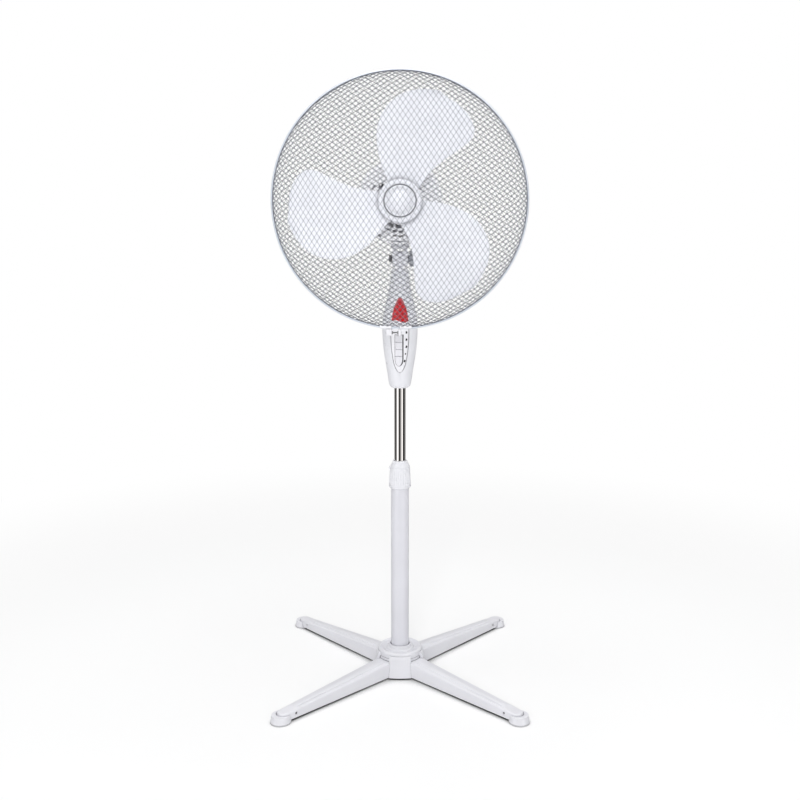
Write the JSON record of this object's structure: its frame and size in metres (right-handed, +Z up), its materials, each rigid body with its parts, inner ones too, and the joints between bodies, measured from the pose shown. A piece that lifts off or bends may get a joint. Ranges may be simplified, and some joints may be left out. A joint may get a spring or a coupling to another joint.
{
  "type": "pedestal fan",
  "caption": "Free-standing pedestal fan: blades in a round mesh guard on a tilting, oscillating head, with a keyed control box, a telescopic pole and a cross base.",
  "frame": {"origin": "on the floor, at the axis of the pole", "axes": "+Z up along the pole; the fan blows towards -Y, and +X is to the right as it is seen from the front"},
  "size_m": [0.4186, 0.4186, 1.045],
  "materials": {
    "white_plastic": "satin white moulding",
    "panel_plastic": "smooth white panel",
    "key_plastic": "smooth white keys",
    "blade_plastic": "glossy, slightly translucent white",
    "base_paint": "white powder coat",
    "pole_paint": "white powder coat",
    "rim_paint": "white paint with a cool cast",
    "guard_wire": "pale coated wire",
    "chrome_tube": "polished",
    "plated_steel": "zinc plated",
    "cast_alloy": "as cast",
    "motor_core": "varnished laminations",
    "nylon": "natural nylon",
    "dark_plastic": "dark grey moulding",
    "red_plastic": "plain red insert"
  },
  "bodies": {
    "base": {"leg_bar_lower": "base_paint", "leg_bar_upper": "base_paint", "foot_cap_front_left": "white_plastic", "foot_cap_front_right": "white_plastic", "foot_cap_back_left": "white_plastic", "foot_cap_back_right": "white_plastic", "base_hub_cover": "white_plastic", "pole_flange": "plated_steel", "base_bolt": "plated_steel", "lower_pole": "pole_paint", "pole_bush": "nylon"},
    "collar": {"locking_collar": "white_plastic"},
    "mast": {"inner_tube": "chrome_tube", "tube_end_plug": "nylon", "tube_socket": "nylon", "control_box_front": "white_plastic", "control_box_rear": "white_plastic", "control_panel": "panel_plastic", "badge_insert": "red_plastic", "switch_block": "dark_plastic", "stand_knuckle": "plated_steel", "tilt_bolt": "plated_steel", "cord_inlet": "dark_plastic", "tube_set_screw": "plated_steel", "box_screw_lower": "plated_steel", "box_screw_upper": "plated_steel"},
    "key_off": {"key_off": "key_plastic"},
    "key_low": {"key_low": "key_plastic"},
    "key_medium": {"key_medium": "key_plastic"},
    "key_high": {"key_high": "key_plastic"},
    "neck": {"tilt_neck": "white_plastic", "oscillation_bush": "nylon"},
    "clamp_knob": {"tilt_knob": "dark_plastic"},
    "head": {"gearbox_case": "cast_alloy", "gearbox_lid": "cast_alloy", "pivot_pin": "plated_steel", "motor_front_bell": "cast_alloy", "motor_stator": "motor_core", "motor_rear_bell": "cast_alloy", "motor_cover": "white_plastic", "cover_screw": "plated_steel", "rear_guard": "guard_wire", "guard_lock_nut": "white_plastic", "front_guard": "guard_wire", "guard_clamp_ring": "rim_paint", "clamp_screw": "plated_steel"},
    "rotor": {"rotor_shaft": "plated_steel", "rotor_core": "motor_core", "fan_blade": "blade_plastic", "spinner_nut": "blade_plastic"},
    "clutch": {"worm_wheel": "nylon", "clutch_shaft": "plated_steel"},
    "crank": {"crank_gear": "nylon", "crank_disc": "plated_steel"},
    "link": {"crank_link": "plated_steel"},
    "selector": {"oscillation_knob": "white_plastic"}
  },
  "joints": [
    {"name": "collar_turn", "type": "hinge", "parent": "base", "child": "collar", "pos_m": [0, 0, 0.36], "axis": [0, 0, 1], "range_deg": [0, 150]},
    {"name": "height_slide", "type": "slide", "parent": "base", "child": "mast", "axis": [0, 0, 1], "range_m": [-0.13, 0.08]},
    {"name": "key_off_press", "type": "slide", "parent": "mast", "child": "key_off", "axis": [0, 1, 0], "range_m": [0, 0.003], "stiffness_N_per_m": 300},
    {"name": "key_low_press", "type": "slide", "parent": "mast", "child": "key_low", "axis": [0, 1, 0], "range_m": [0, 0.003], "stiffness_N_per_m": 300},
    {"name": "key_medium_press", "type": "slide", "parent": "mast", "child": "key_medium", "axis": [0, 1, 0], "range_m": [0, 0.003], "stiffness_N_per_m": 300},
    {"name": "key_high_press", "type": "slide", "parent": "mast", "child": "key_high", "axis": [0, 1, 0], "range_m": [0, 0.003], "stiffness_N_per_m": 300},
    {"name": "head_tilt", "type": "hinge", "parent": "mast", "child": "neck", "pos_m": [0, 0, 0.74], "axis": [1, 0, 0], "range_deg": [-25, 12]},
    {"name": "clamp_knob_turn", "type": "hinge", "parent": "mast", "child": "clamp_knob", "pos_m": [0.02, 0, 0.74], "axis": [1, 0, 0], "range_deg": [0, 180]},
    {"name": "head_oscillation", "type": "hinge", "parent": "neck", "child": "head", "pos_m": [0, 0, 0.78], "axis": [0, 0, 1], "range_deg": [-40, 40]},
    {"name": "rotor_spin", "type": "hinge", "parent": "head", "child": "rotor", "pos_m": [0, -0.1, 0.836], "axis": [0, 1, 0], "continuous": true},
    {"name": "clutch_turn", "type": "hinge", "parent": "head", "child": "clutch", "pos_m": [-0.017, 0.06, 0.836], "axis": [0, 0, 1], "continuous": true},
    {"name": "crank_turn", "type": "hinge", "parent": "head", "child": "crank", "pos_m": [0.004, 0.06, 0.81], "axis": [0, 0, 1], "continuous": true},
    {"name": "link_turn", "type": "hinge", "parent": "crank", "child": "link", "pos_m": [0.011, 0.06, 0.785], "axis": [0, 0, 1], "continuous": true},
    {"name": "selector_pull", "type": "slide", "parent": "head", "child": "selector", "axis": [0, 0, 1], "range_m": [0, 0.006]}
  ],
  "couplings": [
    {"joint": "clutch_turn", "follows": "rotor_spin", "ratio": 0.047619},
    {"joint": "crank_turn", "follows": "rotor_spin", "ratio": -0.014881},
    {"joint": "link_turn", "follows": "rotor_spin", "ratio": 0.014881}
  ]
}
